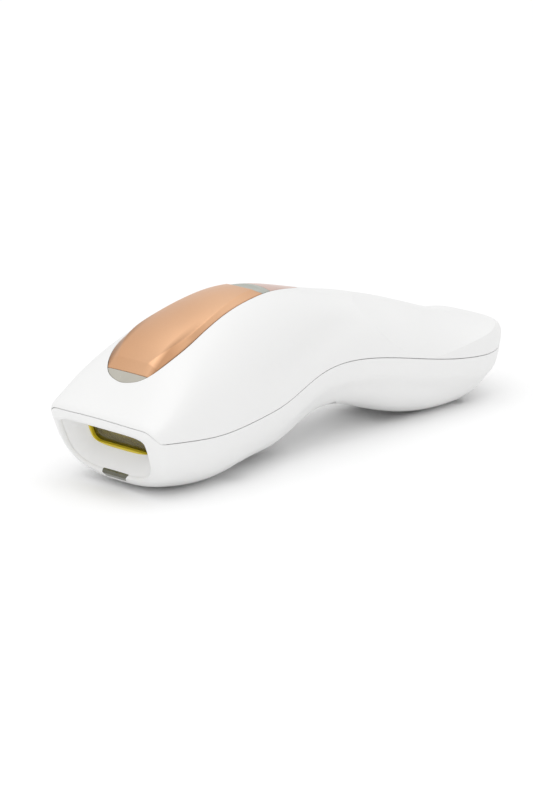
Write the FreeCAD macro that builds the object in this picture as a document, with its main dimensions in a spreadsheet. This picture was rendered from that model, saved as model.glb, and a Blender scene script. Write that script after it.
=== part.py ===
import FreeCAD, Part
import math
import os
import re
import Sketcher
from FreeCAD import Placement, Rotation, Vector

os.makedirs("parts", exist_ok=True)
doc = FreeCAD.newDocument("hair_remover")

# ---------------------------------------------------------------------------
# Driving dimensions, in millimetres and degrees. Nose towards -X, tail +X,
# symmetric about Y = 0, resting on Z = 0 on the belly of head and handle.
# ---------------------------------------------------------------------------

# The body is lofted through these stations along the seam between the shells:
# x, seam height, backward lean of the section, rise above and drop below the
# seam, half width, squareness above and below, pinch of the upper flank and
# the height of that pinch, tuck of the wall below the lower crease.
STATION_KEYS = ("x", "seam", "lean", "rise", "drop", "half", "crown", "keel", "pinch", "level", "tuck")
STATIONS = {
    "nose": (-92.5, 20.5, 20.0, 5.0, 19.0, 24.5, 3.8, 2.8, 0.0, 10.0, 0.0),
    "brow": (-79.5, 19.5, 20.0, 14.5, 21.0, 26.5, 3.8, 2.8, 0.0, 10.0, 0.0),
    "lens": (-63.5, 18.5, 17.0, 27.1, 19.5, 26.5, 2.9, 2.8, 0.0, 10.0, 0.0),
    "plate": (-45.5, 19.5, 10.0, 34.0, 17.5, 24.8, 2.5, 2.8, 0.5, 10.0, 0.3),
    "top": (-27.5, 21.5, 3.5, 35.0, 18.0, 21.5, 2.5, 2.8, 1.4, 10.0, 0.8),
    "neck": (-9.5, 27.0, -1.5, 26.0, 17.5, 19.5, 2.5, 2.9, 1.6, 10.5, 1.2),
    "waist": (10.5, 28.0, -6.5, 20.0, 18.0, 20.0, 2.7, 3.0, 0.8, 14.0, 1.5),
    "grip": (34.5, 24.0, -9.0, 18.5, 21.0, 22.8, 3.4, 3.2, 0.0, 15.0, 2.0),
    "palm": (62.5, 19.0, -11.0, 14.8, 19.6, 22.2, 4.0, 3.2, 0.0, 15.0, 2.0),
    "tail": (93.8, 20.0, -12.0, 11.0, 14.5, 21.5, 4.0, 2.8, 0.0, 15.0, 1.4),
}

SIZES = {
    "nose_round": 3.0,
    "nose_side_round": 5.0,
    "tail_round": 25.0,
    "tuck_start": 7.0,
    "tuck_blend": 3.0,
    "pinch_spread": 5.0,
    "wall": 2.0,
    "seam_gap": 0.25,
    "tongue_inset": 1.1,
    "tongue_rise": 1.6,
    "arch_rise": 4.2,
    "arch_depth": 5.0,
    # recess in the nose and the window at its end, along the nose's own axes
    "mouth_half": 19.3,
    "mouth_level": -3.0,
    "mouth_up": 3.4,
    "mouth_down": 13.4,
    "mouth_lip": 1.5,
    "recess_depth": 8.0,
    "recess_wall": 1.2,
    "window_half": 13.3,
    "window_level": -6.6,
    "window_up": 4.2,
    "window_down": 4.2,
    "window_corner": 2.8,
    "flange_width": 34.0,
    "flange_height": 13.6,
    "glass_width": 29.4,
    "glass_height": 10.8,
    "glass_thick": 2.0,
    "gasket_rim": 1.2,
    "sensor_width": 11.5,
    "sensor_foot": 9.0,
    "sensor_top": -16.3,
    "sensor_bottom": -18.4,
    "sensor_depth": 2.2,
    # plate on top of the head
    "plate_clear": 0.25,
    "button_thick": 1.9,
    "tray_pocket": 3.0,
    "tray_bottom": 4.2,
    "pivot_radius": 1.0,
    "pivot_length": 14.0,
    "pivot_drop": 6.4,
    "pivot_fit": 0.03,
    # flash lamp and what carries it
    "lamp_radius": 3.0,
    "lamp_length": 34.0,
    "lamp_place": 17.5,
    "lamp_cap_radius": 3.6,
    "lamp_cap_length": 4.0,
    "holder_depth": 8.4,
    "holder_thick": 3.0,
    "holder_height": 10.0,
    "reflector_length": 30.0,
    "reflector_sheet": 0.6,
    "reflector_half": 5.1,
    "carrier_width": 40.0,
    "carrier_height": 12.4,
    "carrier_hole_width": 30.6,
    "carrier_hole_height": 10.4,
    "carrier_thick": 2.0,
    "sink_width": 30.0,
    "sink_height": 12.0,
    "sink_base": 2.0,
    "fin_height": 5.0,
    "fin_thick": 1.0,
    "fin_count": 8.0,
    # fan
    "fan_size": 28.0,
    "fan_depth": 8.0,
    "fan_bore": 13.0,
    "fan_hub": 5.0,
    "blade_count": 7.0,
    "shaft_radius": 1.0,
    # electronics
    "board_thick": 1.6,
    "can_radius": 9.0,
    "can_length": 44.0,
    "switch_size": 6.0,
    "switch_height": 3.4,
    "plunger_radius": 1.6,
    "plunger_height": 1.4,
    "plunger_root": 1.0,
    "plunger_well": 1.8,
    "socket_radius": 5.5,
    "socket_bore": 2.8,
    "socket_guide": 4.2,
    "pin_radius": 0.65,
    "screw_shank": 1.25,
    "screw_head": 2.4,
    "screw_head_height": 1.6,
    "screw_length": 12.0,
}

# Leaf-shaped outline of the metallic plate: distance along X, half width.
LEAF = (
    (-83.0, 0.0), (-82.5, 3.9), (-81.6, 6.8), (-80.0, 9.2), (-76.8, 11.5), (-73.0, 12.8), (-67.5, 13.4),
    (-60.5, 12.8), (-51.5, 11.5), (-42.5, 10.4), (-31.5, 9.1), (-23.5, 7.6), (-15.5, 5.7), (-7.5, 3.1), (-1.5, 0.0),
)
# Raised top of the treatment button: x, half width of the raised face, raise.
BUTTON_FACE = (
    (-77.4, 6.8, 1.1), (-73.0, 9.3, 1.1), (-67.5, 11.1, 1.1), (-60.5, 11.2, 1.0), (-51.5, 9.9, 0.9),
    (-42.5, 8.2, 0.8), (-35.0, 6.8, 0.6), (-30.6, 5.9, 0.4), (-25.6, 4.9, 0.3),
)
LENS_EDGE = -80.1
BUTTON_REAR = -31.0
REAR_RADIUS = 10.6
SADDLE_REAR = -22.6

# Concave top of the handle: x, depth below the skin on the centre line, height at 20 mm out.
DISH = (
    (6.5, -1.2, 37.5), (20.5, -0.3, 34.6), (31.0, 0.3, 32.0), (43.5, 0.6, 29.2), (58.5, 0.7, 26.6),
    (69.0, 0.9, 26.0), (79.0, 1.3, 26.2), (86.0, 1.6, 26.6), (90.5, 1.2, 27.0), (96.0, -0.5, 28.2),
)

sheet = doc.addObject("Spreadsheet::Sheet", "Sizes")


def fill_sheet():
    """Write every driving dimension as a plain number with its word as alias."""
    cells = dict(SIZES)
    for station, values in STATIONS.items():
        for key, value in zip(STATION_KEYS, values):
            cells["%s_%s" % (station, key)] = value
    for row, (alias, value) in enumerate(cells.items(), start=1):
        sheet.set("A%d" % row, alias)
        sheet.set("B%d" % row, str(value))
        sheet.setAlias("B%d" % row, alias)
    doc.recompute()
    return set(cells)


ALIASES = fill_sheet()


def size(alias):
    """Value of one cell of the sheet."""
    return float(sheet.get(alias))


def bind(target, prop, expression):
    """Bind a property to an expression whose words are aliases of the sheet."""
    text = re.sub(r"[a-z_]+", lambda m: "Sizes." + m.group() if m.group() in ALIASES else m.group(), str(expression))
    target.setExpression(prop, text)


# ---------------------------------------------------------------------------
# The skin: one closed B-spline surface through sections at the stations
# ---------------------------------------------------------------------------

POLES_AROUND = 56
MAIN_ROWS = 40
ROUND_ROWS = 6
TAIL_ROWS = 12


def profile_curve(key):
    """Spline of one station value against x; its parameter is x itself."""
    xs = [size(name + "_x") for name in STATIONS]
    points = [Vector(x, size("%s_%s" % (name, key)), 0) for x, name in zip(xs, STATIONS)]
    curve = Part.BSplineCurve()
    curve.interpolate(Points=points, Parameters=xs)
    return curve


PROFILES = {key: profile_curve(key) for key in STATION_KEYS if key != "x"}
NOSE_X = size("nose_x")
TAIL_X = size("tail_x")


def profile(key, x):
    """Value of one station key at a place along the body."""
    return PROFILES[key].value(min(max(x, NOSE_X), TAIL_X)).y


def smooth_step(value):
    """0 below 0, 1 above 1, with a soft change between."""
    value = min(max(value, 0.0), 1.0)
    return value * value * (3.0 - 2.0 * value)


def outward(solid):
    """The same solid with its faces pointing outwards."""
    if solid.Volume < 0:
        solid.reverse()
    return solid


def section_poles(x, scale, inset, beside_inset=None):
    """Poles of one section: squared half ellipses above and below the seam."""
    lean = math.radians(profile("lean", x))
    seam = profile("seam", x)
    half = profile("half", x) * scale - (inset if beside_inset is None else beside_inset)
    rise = profile("rise", x) * scale - inset
    drop = profile("drop", x) * scale - inset
    poles = []
    for step in range(POLES_AROUND):
        angle = 2.0 * math.pi * (step + 0.5) / POLES_AROUND - math.pi / 2.0
        power = 2.0 / (profile("crown", x) if math.sin(angle) > 0 else profile("keel", x))
        reach = math.copysign(abs(math.cos(angle)) ** power, math.cos(angle))
        span = rise if math.sin(angle) > 0 else drop
        height = math.copysign(abs(math.sin(angle)) ** power, math.sin(angle)) * span
        below = smooth_step((-height - size("tuck_start")) / size("tuck_blend"))
        beside = math.exp(-((height - profile("level", x)) / size("pinch_spread")) ** 2)
        pull = (profile("tuck", x) * below + profile("pinch", x) * beside) * scale
        y = reach * (half - pull * abs(reach))
        poles.append(Vector(x - math.sin(lean) * height, y, seam + math.cos(lean) * height))
    return poles


def skin_rows(inset):
    """Sections from the rounded nose edge to the rounded tail, pulled in by inset."""
    nose = NOSE_X + inset
    tail = TAIL_X - inset
    edge = max(size("nose_round") - inset, 0.8)
    side_edge = max(size("nose_side_round") - inset, 1.6)
    turn = size("tail_round") - inset
    rows = []
    for step in range(ROUND_ROWS):
        angle = 0.5 * math.pi * step / ROUND_ROWS
        depth = side_edge * (1.0 - math.cos(angle))
        level = max(edge - depth, 0.0)
        pulled = inset + edge - math.sqrt(edge ** 2 - level ** 2)
        rows.append(section_poles(nose + depth, 1.0, pulled, inset + side_edge * (1.0 - math.sin(angle))))
    first = nose + side_edge
    last = tail - turn
    for step in range(MAIN_ROWS):
        rows.append(section_poles(first + (last - first) * step / MAIN_ROWS, 1.0, inset))
    for step in range(TAIL_ROWS + 1):
        angle = 0.5 * math.pi * step / TAIL_ROWS * 0.96
        scale = math.cos(angle)
        rows.append(section_poles(last + turn * math.sin(angle), scale, inset * scale))
    return rows


def skin_solid(inset):
    """Closed solid bounded by the skin, a flat nose and a tiny flat at the tail."""
    rows = skin_rows(inset)
    surface = Part.BSplineSurface()
    end_knots = len(rows) - 2
    surface.buildFromPolesMultsKnots(
        rows,
        [4] + [1] * (end_knots - 2) + [4], [1] * (POLES_AROUND + 1),
        [float(k) for k in range(end_knots)], [float(k) for k in range(POLES_AROUND + 1)],
        False, True, 3, 3,
    )
    lengthwise = [0.0, 12.0, 24.0, 36.0, 46.0, float(end_knots - 1)]
    around = [float(POLES_AROUND * quarter // 4) for quarter in range(5)]
    faces = []
    for first, last in zip(lengthwise, lengthwise[1:]):
        for start, stop in zip(around, around[1:]):
            patch = surface.copy()
            patch.segment(first, last, start, stop)
            faces.append(patch.toShape())
    for knot in (lengthwise[0], lengthwise[-1]):
        rim = surface.uIso(knot)
        arcs = []
        for start, stop in zip(around, around[1:]):
            arc = rim.copy()
            arc.segment(start, stop)
            arcs.append(arc.toShape())
        faces.append(Part.Face(Part.Wire(arcs)))
    shell = Part.makeShell(faces)
    shell.sewShape()
    return outward(Part.Solid(shell))


def top_point(x, y):
    """Height of the upper skin at x and y, found by halving along the seam."""
    low, high = NOSE_X, TAIL_X
    for _ in range(40):
        middle = 0.5 * (low + high)
        lean = math.radians(profile("lean", middle))
        power = profile("crown", middle)
        share = max(0.0, 1.0 - (abs(y) / profile("half", middle)) ** power) ** (1.0 / power)
        height = profile("rise", middle) * share
        if middle - math.sin(lean) * height < x:
            low = middle
        else:
            high = middle
    return profile("seam", middle) + math.cos(lean) * height


# ---------------------------------------------------------------------------
# Helpers that make document objects
# ---------------------------------------------------------------------------

NODES = []
WORLD = Placement()
NOSE_FRAME = Placement(
    Vector(NOSE_X, 0, size("nose_seam")), Rotation(Vector(0, 1, 0), -size("nose_lean")))
ALONG = {"x": Rotation(Vector(0, 1, 0), 90), "y": Rotation(Vector(1, 0, 0), -90), "z": Rotation()}


def node(thing, name):
    """Name a finished sub-part; its label becomes its file."""
    thing.Label = name
    NODES.append(thing)
    return thing


def put(thing, place, frame=WORLD, turn=Rotation()):
    """Set an object's placement from a place in a frame."""
    thing.Placement = frame.multiply(Placement(Vector(*place), turn))
    return thing


def shape_object(name, shape):
    """Free-form piece whose shape is worked out from the sheet in code."""
    thing = doc.addObject("Part::Feature", name)
    thing.Shape = shape
    thing.Placement = Placement()
    return thing


def block(name, length, width, height, centre, frame=WORLD):
    """Box given by its middle; each size is an expression on the sheet."""
    box = doc.addObject("Part::Box", name)
    for prop, expression in (("Length", length), ("Width", width), ("Height", height)):
        bind(box, prop, expression)
    doc.recompute()
    corner = (centre[0] - box.Length.Value / 2, centre[1] - box.Width.Value / 2, centre[2] - box.Height.Value / 2)
    return put(box, corner, frame)


def rod(name, radius, length, centre, axis="z", frame=WORLD):
    """Cylinder given by its middle, along one axis of a frame."""
    cylinder = doc.addObject("Part::Cylinder", name)
    bind(cylinder, "Radius", radius)
    bind(cylinder, "Height", length)
    doc.recompute()
    half = cylinder.Height.Value / 2
    turn = ALONG[axis]
    start = Vector(*centre) - turn.multVec(Vector(0, 0, half))
    return put(cylinder, tuple(start), frame, turn)


def boolean(kind, name, base, tool):
    """Cut, Fuse or Common of two objects of the document."""
    result = doc.addObject("Part::" + kind, name)
    result.Base = base
    result.Tool = tool
    return result


def cut(name, base, *tools):
    """Base with every tool taken away."""
    for number, tool in enumerate(tools):
        base = boolean("Cut", "%s_cut%d" % (name, number), base, tool)
    return base


def fuse(name, *things):
    """Several objects joined to one."""
    result = doc.addObject("Part::MultiFuse", name)
    result.Shapes = list(things)
    return result


def group(name, *things):
    """Separate solids that share one node."""
    result = doc.addObject("Part::Compound", name)
    result.Links = list(things)
    return result


def sketch_body(name, plane, frame=WORLD, place=(0, 0, 0), turn=Rotation()):
    """A body with one empty sketch on one of its own origin planes."""
    body = doc.addObject("PartDesign::Body", name)
    sketch = body.newObject("Sketcher::SketchObject", name + "_sketch")
    origin = [f for f in body.Origin.OriginFeatures if f.Role == plane][0]
    sketch.AttachmentSupport = [(origin, "")]
    sketch.MapMode = "FlatFace"
    put(body, place, frame, turn)
    return body, sketch


def draw_rectangle(sketch, width, height):
    """Rectangle centred on the sketch's origin, its two sizes bound to the sheet."""
    corners = [Vector(-1, -1, 0), Vector(1, -1, 0), Vector(1, 1, 0), Vector(-1, 1, 0)]
    first = sketch.GeometryCount
    for index in range(4):
        sketch.addGeometry(Part.LineSegment(corners[index], corners[(index + 1) % 4]), False)
    for index in range(4):
        sketch.addConstraint(Sketcher.Constraint("Coincident", first + index, 2, first + (index + 1) % 4, 1))
    for index in (0, 2):
        sketch.addConstraint(Sketcher.Constraint("Horizontal", first + index))
        sketch.addConstraint(Sketcher.Constraint("Vertical", first + index + 1))
    sketch.addConstraint(Sketcher.Constraint("Symmetric", first, 1, first + 1, 2, -1, 1))
    for name, line, kind, expression in (
            ("wide%d" % first, first, "DistanceX", width), ("tall%d" % first, first + 1, "DistanceY", height)):
        number = sketch.addConstraint(Sketcher.Constraint(kind, line, 1, line, 2, 2.0))
        sketch.renameConstraint(number, name)
        bind(sketch, "Constraints." + name, expression)


def draw_circle(sketch, radius, name, x=0.0, y=0.0):
    """Circle with its radius bound to the sheet."""
    index = sketch.addGeometry(Part.Circle(Vector(x, y, 0), Vector(0, 0, 1), 1.0), False)
    if x or y:
        sketch.addConstraint(Sketcher.Constraint("DistanceX", index, 3, x))
        sketch.addConstraint(Sketcher.Constraint("DistanceY", index, 3, y))
    else:
        sketch.addConstraint(Sketcher.Constraint("Coincident", index, 3, -1, 1))
    number = sketch.addConstraint(Sketcher.Constraint("Radius", index, 1.0))
    sketch.renameConstraint(number, name)
    bind(sketch, "Constraints." + name, radius)


def pad(body, sketch, length, both=False):
    """Pad of a sketch with its length bound to the sheet."""
    feature = body.newObject("PartDesign::Pad", body.Name + "_pad")
    feature.Profile = sketch
    bind(feature, "Length", length)
    feature.Midplane = both
    body.Tip = feature
    return feature


def frame_plate(name, width, height, hole_width, hole_height, thick, place, frame):
    """Flat rectangular frame standing across the nose's axis."""
    body, sketch = sketch_body(name, "YZ_Plane", frame, place)
    draw_rectangle(sketch, width, height)
    draw_rectangle(sketch, hole_width, hole_height)
    pad(body, sketch, thick)
    return body


# ---------------------------------------------------------------------------
# Regions used to divide the skin
# ---------------------------------------------------------------------------

WIDE = 45.0
FAR = 130.0
OVAL_POINTS = 40
LIP_ANGLES = (0.0, 22.0, 44.0, 66.0)


def prism(points, along, closed_curve=False):
    """Solid swept straight from a closed outline."""
    if closed_curve:
        curve = Part.BSplineCurve()
        curve.interpolate(points)
        edges = [curve.toShape()]
    else:
        edges = Part.makePolygon(points + [points[0]]).Edges
    return outward(Part.Face(Part.Wire(edges)).extrude(along))


def above_seam(lift):
    """Everything above the seam line, raised by lift."""
    xs = [NOSE_X - 10.0 + step * (TAIL_X + 20.0 - NOSE_X) / 40.0 for step in range(41)]
    points = [Vector(x, -WIDE, profile("seam", x) + lift) for x in xs]
    curve = Part.BSplineCurve()
    curve.interpolate(points)
    roof = [points[-1], Vector(xs[-1], -WIDE, FAR), Vector(xs[0], -WIDE, FAR), points[0]]
    edges = [curve.toShape()] + Part.makePolygon(roof).Edges
    return outward(Part.Face(Part.Wire(edges)).extrude(Vector(0, 2 * WIDE, 0)))


def arch_height(y):
    """Height of the seam where it runs over the front of the nose."""
    reach = abs(y) / 25.0
    return size("arch_rise") - 0.8 * reach ** 2 - 5.7 * reach ** 16


def nose_rim(lift):
    """Front slice of the nose under the arched part of the seam."""
    reach = 27.5
    points = [Vector(-8.0, -reach + step * 2 * reach / 44.0, 0) for step in range(45)]
    curve = Part.BSplineCurve()
    curve.interpolate([Vector(p.x, p.y, arch_height(p.y) + lift) for p in points])
    first = curve.value(curve.FirstParameter)
    last = curve.value(curve.LastParameter)
    low = [last, Vector(-8.0, reach, -60), Vector(-8.0, -reach, -60), first]
    face = Part.Face(Part.Wire([curve.toShape()] + Part.makePolygon(low).Edges))
    solid = outward(face.extrude(Vector(8.0 + size("arch_depth") + lift, 0, 0)))
    solid.Placement = NOSE_FRAME
    return solid


def upper_region(lift):
    """Space that belongs to the upper shell."""
    return above_seam(lift).cut(nose_rim(lift))


def leaf_points(grow):
    """Leaf outline moved outwards by grow, from the tail tip round to the tail tip."""
    side = []
    for index in range(1, len(LEAF) - 1):
        before, here, after = LEAF[index - 1], LEAF[index], LEAF[index + 1]
        run = Vector(after[0] - before[0], after[1] - before[1], 0)
        run.normalize()
        side.append(Vector(here[0] - run.y * grow, here[1] + run.x * grow, 0))
    tip = Vector(LEAF[-1][0] + 2.5 * grow, 0, 0)
    front = Vector(LEAF[0][0] - grow, 0, 0)
    left = list(reversed(side))
    right = [Vector(p.x, -p.y, 0) for p in side]
    return [tip] + left + [front] + right + [tip]


def leaf_prism(grow, low=27.0, x_from=-100.0, x_to=100.0):
    """Upright prism with the leaf outline, kept between two places along X."""
    points = [Vector(p.x, p.y, low) for p in leaf_points(grow)]
    solid = prism(points, Vector(0, 0, 40), closed_curve=True)
    keep = Part.makeBox(x_to - x_from, 2 * WIDE, 60, Vector(x_from, -WIDE, low - 5))
    return solid.common(keep)


def oval(u, grow):
    """Closed wire across the nose's axis, between the mouth's lip and the window."""
    lip = size("mouth_lip")
    share = max(0.0, (u - lip) / (size("recess_depth") - lip))

    def blend(key):
        return size("mouth_" + key) + (size("window_" + key) - size("mouth_" + key)) * share

    half, level = blend("half") + grow, blend("level")
    points = []
    for step in range(OVAL_POINTS):
        angle = 2.0 * math.pi * (step + 0.5) / OVAL_POINTS - math.pi / 2.0
        flat = math.sin(angle)
        reach, power = (blend("up"), 5.0) if flat > 0 else (blend("down"), 3.3 + 1.3 * share)
        y = math.copysign(abs(math.cos(angle)) ** (2.0 / power), math.cos(angle)) * half
        points.append(Vector(u, y, level + math.copysign(abs(flat) ** (2.0 / power), flat) * (reach + grow)))
    curve = Part.BSplineCurve()
    curve.interpolate(points, True)
    return Part.Wire([curve.toShape()])


def funnel(start, end, grow=0.0):
    """Tapered space between two depths of the recess, grown sideways."""
    solid = outward(Part.makeLoft([oval(start, grow), oval(end, grow)], True, True))
    solid.Placement = NOSE_FRAME
    return solid


def mouth():
    """Space of the whole recess: a straight start, the taper, and a soft lip."""
    lip, far = size("mouth_lip"), size("recess_depth") + 0.5
    taper = outward(Part.makeLoft([oval(-0.5, 0.0), oval(lip, 0.0), oval(far, 0.0)], True, True))
    wires = [oval(-0.6, lip + 0.3)]
    for degrees in LIP_ANGLES:
        angle = math.radians(degrees)
        wires.append(oval(lip * (1.0 - math.cos(angle)), lip * (1.0 - math.sin(angle))))
    wires.append(oval(0.93 * lip, -0.04 * lip))
    space = taper.fuse(outward(Part.makeLoft(wires, True, False)))
    space.Placement = NOSE_FRAME
    return space


def dish_cutter(lower):
    """Space above the hollowed top of the handle, lowered to keep the wall."""
    wires = []
    for x, depth, side in DISH:
        middle = Vector(x, 0, top_point(x, 0) - depth - lower)
        left = Vector(x, -20, side - lower)
        right = Vector(x, 20, side - lower)
        arc = Part.Arc(left, middle, right).toShape()
        curve = arc.Curve
        span = arc.LastParameter - arc.FirstParameter
        ends = [curve.value(arc.FirstParameter - 0.25 * span), curve.value(arc.LastParameter + 0.25 * span)]
        wide = Part.Arc(ends[0], middle, ends[1]).toShape()
        roof = Part.makePolygon([ends[1], Vector(x, ends[1].y, 80), Vector(x, ends[0].y, 80), ends[0]])
        wires.append(Part.Wire([wide] + roof.Edges))
    return outward(Part.makeLoft(wires, True, False))


# ---------------------------------------------------------------------------
# Shells
# ---------------------------------------------------------------------------

OUTER = skin_solid(0.0)
INNER = skin_solid(size("wall"))
GROOVE_SKIN = skin_solid(size("tongue_inset") - 0.1)
TONGUE_SKIN = skin_solid(size("tongue_inset"))
MOUTH = mouth()
GROUND = Part.makeBox(300, 200, 100, Vector(-150, -100, 0))

# Screws join the shells from below: x, y, height where the two bosses meet.
SCREWS = (
    (-52.0, 18.5, 17.0), (-52.0, -18.5, 17.0), (2.0, 11.0, 24.0), (2.0, -11.0, 24.0),
    (68.0, 11.0, 15.0), (68.0, -11.0, 15.0),
)
BOSS_RADIUS = 3.6
SEAT_DEPTH = 3.0
VENTS = ((-40.0, -1.0), (30.0, -1.0))
FLANGE_U = size("recess_depth") - 1.0
SOCKET_HEIGHT = 19.5
SOCKET_END = 96.0
SOCKET_STEP = 88.8


def post(x, y, low, high, radius):
    """Round post between two heights."""
    return Part.makeCylinder(radius, high - low, Vector(x, y, low))


def socket_space(radius, start):
    """Round space along the tail's axis."""
    return Part.makeCylinder(radius, SOCKET_END - start, Vector(start, 0, SOCKET_HEIGHT), Vector(1, 0, 0))


def sensor_prism(grow):
    """Wedge of the lower lip that the skin sensor's window fills."""
    top, foot = size("sensor_width") / 2 + grow, size("sensor_foot") / 2 + grow
    upper, lower = size("sensor_top") + grow, size("sensor_bottom") - grow
    outline = [Vector(-1, -top, upper), Vector(-1, top, upper), Vector(-1, foot, lower), Vector(-1, -foot, lower)]
    solid = prism(outline, Vector(1.0 + size("sensor_depth") + grow, 0, 0))
    solid.Placement = NOSE_FRAME
    return solid


def lower_holes():
    """Everything cut from the lower shell: screws, vents, recess, sensor and socket."""
    tools = [MOUTH, sensor_prism(0.08), socket_space(size("socket_radius"), 80.0)]
    for x, y, meet in SCREWS:
        tools.append(post(x, y, -5.0, meet + 0.1, size("screw_shank") + 0.15))
        tools.append(post(x, y, -5.0, meet - SEAT_DEPTH, size("screw_head") + 0.15))
    for start, low in VENTS:
        for step in range(6):
            for side in (-6.5, 6.5):
                tools.append(Part.makeBox(1.8, 8.0, 14.0, Vector(start + 3.6 * step, side - 4.0, low)))
    return tools


def lower_shell_shape():
    """Lower shell with the rim of the nose, tongue, bosses and openings."""
    skin = OUTER.common(GROUND)
    body = skin.cut(upper_region(-size("seam_gap") / 2))
    body = body.fuse(TONGUE_SKIN.cut(upper_region(size("tongue_rise"))))
    body = body.cut(INNER)
    body = body.fuse(funnel(1.0, FLANGE_U - 0.02, size("recess_wall")))
    for x, y, meet in SCREWS:
        body = body.fuse(post(x, y, 0.5, meet - 0.05, BOSS_RADIUS).common(GROOVE_SKIN))
    return body.cut(lower_holes())


def upper_shell_shape():
    """Upper shell with its groove, bosses, dished grip and the hole for the plate."""
    body = OUTER.cut(dish_cutter(0.0)).common(upper_region(size("seam_gap") / 2))
    body = body.cut(GROOVE_SKIN.cut(upper_region(size("tongue_rise") + 0.2)))
    body = body.cut(INNER.cut(dish_cutter(size("wall"))))
    for x, y, meet in SCREWS:
        boss = post(x, y, meet + 0.05, 60.0, BOSS_RADIUS).common(GROOVE_SKIN).cut(dish_cutter(1.0))
        body = body.fuse(boss.cut(post(x, y, meet - 1.0, meet + 9.2, size("screw_shank") + 0.01)))
    return body.cut([leaf_prism(0.0), socket_space(size("socket_radius"), 80.0)])


node(shape_object("lower_shell", lower_shell_shape()), "lower_shell")
node(shape_object("upper_shell", upper_shell_shape()), "upper_shell")

# ---------------------------------------------------------------------------
# Plate on top of the head: lens, treatment button, saddle, mode button, tray
# ---------------------------------------------------------------------------

CLEAR = size("plate_clear")
STEM_X = -66.0
MODE_X = -14.0
PIVOT_X = -34.0
PIVOT_Z = top_point(PIVOT_X, 0) - size("pivot_drop")
FIXED_BAND = OUTER.cut(skin_solid(size("tray_pocket") - 0.05))
FRONT_SWITCH_TOP = 37.0
MODE_SWITCH_TOP = 46.6
MODE_UNDER = top_point(MODE_X, 0) - size("button_thick")

leaf_curve = Part.BSplineCurve()
leaf_curve.interpolate(Points=[Vector(x, w, 0) for x, w in LEAF[1:]], Parameters=[x for x, _ in LEAF[1:]])


def button_section(x, face_half, lift):
    """One cross-section of the treatment button: bevels beside a raised face."""
    edge = leaf_curve.value(x).y - CLEAR
    thick = size("button_thick")
    z_edge = top_point(x, edge)
    z_face = top_point(x, face_half) + lift
    top = Vector(x, 0, top_point(x, 0) + lift)
    under = Vector(x, 0, top_point(x, 0) - thick)
    outline = [Vector(x, -edge, z_edge), Vector(x, -face_half, z_face), Vector(x, face_half, z_face),
               Vector(x, edge, z_edge), Vector(x, edge, z_edge - thick), Vector(x, -edge, z_edge - thick)]
    edges = [
        Part.LineSegment(outline[0], outline[1]).toShape(), Part.Arc(outline[1], top, outline[2]).toShape(),
        Part.LineSegment(outline[2], outline[3]).toShape(), Part.LineSegment(outline[3], outline[4]).toShape(),
        Part.Arc(outline[4], under, outline[5]).toShape(), Part.LineSegment(outline[5], outline[0]).toShape(),
    ]
    return Part.Wire(edges)


def treatment_button_shape():
    """Raised button with a front bevel, a stem over the switch and a hinge lug."""
    sections = [button_section(x, half, lift) for x, half, lift in BUTTON_FACE]
    body = outward(Part.makeLoft(sections, True, False))
    front = button_section(LENS_EDGE + CLEAR, 5.4, 0.05)
    body = body.fuse(outward(Part.makeLoft([front, sections[0]], True, True)))
    stem = post(STEM_X, 0, FRONT_SWITCH_TOP + size("plunger_height") + 0.05, top_point(STEM_X, 0) - 1.0, 1.5)
    lug = Part.makeBox(4.4, 7.2, top_point(PIVOT_X, 0) - 1.0 - PIVOT_Z, Vector(PIVOT_X - 2.2, -3.6, PIVOT_Z))
    round_end = Part.makeCylinder(2.2, 7.2, Vector(PIVOT_X, -3.6, PIVOT_Z), Vector(0, 1, 0))
    body = body.multiFuse([stem, lug, round_end])
    bore = size("pivot_radius") + size("pivot_fit")
    rear = post(BUTTON_REAR + REAR_RADIUS, 0, 30.0, 70.0, REAR_RADIUS)
    return body.cut([rear, Part.makeCylinder(bore, 20, Vector(PIVOT_X, -10, PIVOT_Z), Vector(0, 1, 0))])


def mode_button_shape():
    """Flush rear button with its stem."""
    plate = OUTER.cut(skin_solid(size("button_thick")))
    plate = plate.common(leaf_prism(-CLEAR, x_from=SADDLE_REAR + CLEAR))
    stem = post(MODE_X, 0, MODE_SWITCH_TOP + size("plunger_height") + 0.02, top_point(MODE_X, 0) - 1.0, 1.2)
    return plate.fuse(stem)


def saddle_shape():
    """Fixed dip between the two buttons."""
    body = FIXED_BAND.common(leaf_prism(-CLEAR, x_from=BUTTON_REAR, x_to=SADDLE_REAR))
    body = body.common(post(BUTTON_REAR + REAR_RADIUS, 0, 30.0, 70.0, REAR_RADIUS - CLEAR))
    middle = 0.5 * (BUTTON_REAR + SADDLE_REAR)
    dip = Part.makeCylinder(9.0, 40, Vector(middle, -20, top_point(middle, 0) + 8.2), Vector(0, 1, 0))
    return body.cut(dip)


def tray_shape():
    """Bed under the plate, let in from below, with ears for the hinge pin."""
    body = leaf_prism(2.2).common(skin_solid(2.05)).cut(skin_solid(size("tray_bottom")))
    body = body.cut(leaf_prism(0.1).cut(skin_solid(size("tray_pocket"))))
    for side in (-5.4, 5.4):
        ear = Part.makeBox(4.4, 2.6, 6.0, Vector(PIVOT_X - 2.2, side - 1.3, PIVOT_Z - 2.0))
        body = body.fuse(ear.common(skin_solid(size("tray_pocket") + 0.05)))
    return body.cut([
        Part.makeBox(6.4, 7.8, 12, Vector(PIVOT_X - 3.2, -3.9, PIVOT_Z - 1.0)),
        Part.makeCylinder(size("pivot_radius") + 0.005, 20, Vector(PIVOT_X, -10, PIVOT_Z), Vector(0, 1, 0)),
        post(STEM_X, 0, 30, 60, 2.6), post(MODE_X, 0, 40, 60, 3.0), post(-80.6, 0, 25, 50, 2.6),
    ])


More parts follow.
